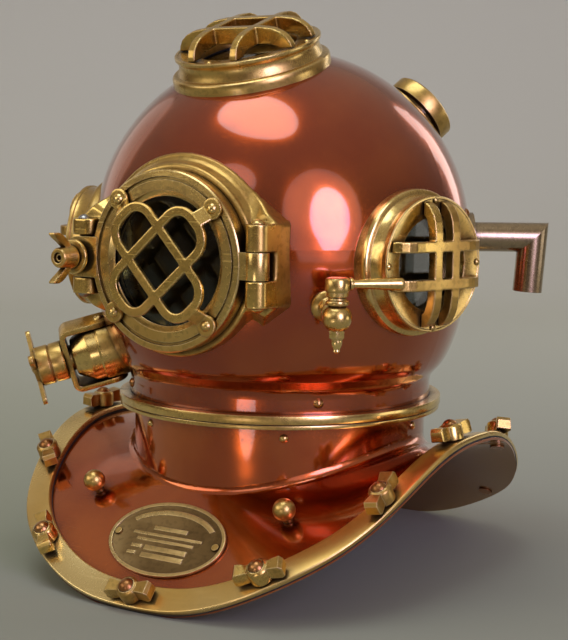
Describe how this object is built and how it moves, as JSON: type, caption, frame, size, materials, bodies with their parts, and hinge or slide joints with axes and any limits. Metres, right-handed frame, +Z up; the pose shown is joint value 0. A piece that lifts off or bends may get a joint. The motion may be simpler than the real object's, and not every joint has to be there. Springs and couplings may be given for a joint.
{
  "type": "diving helmet",
  "caption": "Round copper diving helmet with barred brass windows, a hinged face door, an exhaust valve, a spit tap and a saddle-shaped breastplate with clamped brass straps.",
  "frame": {"origin": "on the neck axis, at the level of the two lobes that the breastplate stands on", "axes": "+Z up along the neck axis, -Y the way the face window looks, +X the wearer's left"},
  "size_m": [0.3854, 0.4421, 0.4644],
  "materials": {
    "copper": "polished and lacquered copper, darkened in the hollows",
    "copper_trim": "polished copper",
    "brass": "polished brass with brown wear in the corners",
    "strap_brass": "polished brass",
    "brass_trim": "polished brass",
    "nameplate": "cast brass with a dark ground",
    "steel": "plain turned steel",
    "rubber": "matt black",
    "leather_washer": "dark oiled leather",
    "glass": "clear plate glass"
  },
  "bodies": {
    "breastplate": {"ball_studs": "brass_trim", "brail_back": "strap_brass", "brail_front": "strap_brass", "brail_studs": "copper_trim", "brail_wing_nuts": "strap_brass", "breastplate_neck_ring": "brass", "breastplate_shell": "copper", "collar_rivets": "brass_trim", "nameplate": "nameplate", "nameplate_rivets": "brass_trim", "neck_gasket": "leather_washer", "strap_gasket": "rubber"},
    "bonnet": {"air_gooseneck": "brass", "bonnet_neck_ring": "brass", "bonnet_rivets": "copper_trim", "bonnet_shell": "copper", "door_gasket": "rubber", "exhaust_body": "brass", "exhaust_spindle": "brass", "exhaust_yoke": "brass", "face_frame": "brass", "hinge_pin": "steel", "latch_pins": "steel", "left_window_frame": "brass", "left_window_gasket": "rubber", "left_window_glass": "glass", "left_window_guard": "brass", "left_window_retainer": "brass", "left_window_screws": "brass_trim", "right_window_frame": "brass", "right_window_gasket": "rubber", "right_window_glass": "glass", "right_window_guard": "brass", "right_window_retainer": "brass", "right_window_screws": "brass_trim", "spitcock_body": "brass", "telephone_cap": "brass", "telephone_gooseneck": "brass", "top_window_frame": "brass", "top_window_gasket": "rubber", "top_window_glass": "glass", "top_window_guard": "brass", "top_window_retainer": "brass", "top_window_screws": "brass_trim", "yoke_screws": "brass_trim"},
    "face_door": {"door_ring": "brass", "door_glass": "glass", "door_glass_gasket": "rubber", "door_retainer": "brass", "door_guard": "brass", "door_guard_screws": "copper_trim"},
    "latch_bolt": {"latch_bolt": "brass"},
    "latch_wing": {"latch_wing_nut": "brass"},
    "exhaust_handle": {"exhaust_handle": "brass"},
    "chin_button": {"chin_button": "brass"},
    "spitcock_plug": {"spitcock_plug": "brass"}
  },
  "joints": [
    {"name": "bonnet_twist", "type": "hinge", "parent": "breastplate", "child": "bonnet", "pos_m": [0, 0, 0.1375], "axis": [0, 0, 1], "range_deg": [0, 45]},
    {"name": "face_door_hinge", "type": "hinge", "parent": "bonnet", "child": "face_door", "pos_m": [0.0815, -0.162, 0.265], "axis": [0, 0, 1], "range_deg": [0, 115]},
    {"name": "latch_bolt_slide", "type": "slide", "parent": "face_door", "child": "latch_bolt", "axis": [0, 1, 0], "range_m": [0, 0.004]},
    {"name": "latch_wing_turn", "type": "hinge", "parent": "latch_bolt", "child": "latch_wing", "pos_m": [-0.084, -0.18, 0.265], "axis": [0, 1, 0], "range_deg": [0, 720]},
    {"name": "exhaust_handle_turn", "type": "hinge", "parent": "bonnet", "child": "exhaust_handle", "pos_m": [0, 0, 0.2237], "axis": [-0.7575, -0.5918, -0.2756], "range_deg": [-180, 180]},
    {"name": "chin_button_slide", "type": "slide", "parent": "bonnet", "child": "chin_button", "axis": [-0.7575, -0.5918, -0.2756], "range_m": [0, 0.006], "stiffness_N_per_m": 400, "springref_m": -0.004},
    {"name": "spitcock_turn", "type": "hinge", "parent": "bonnet", "child": "spitcock_plug", "pos_m": [0.13435, -0.13435, 0.25], "axis": [0, 0, 1], "range_deg": [-90, 0]}
  ],
  "couplings": [
    {"joint": "latch_wing_turn", "follows": "latch_bolt_slide", "rad_per_m": 3141.6}
  ]
}
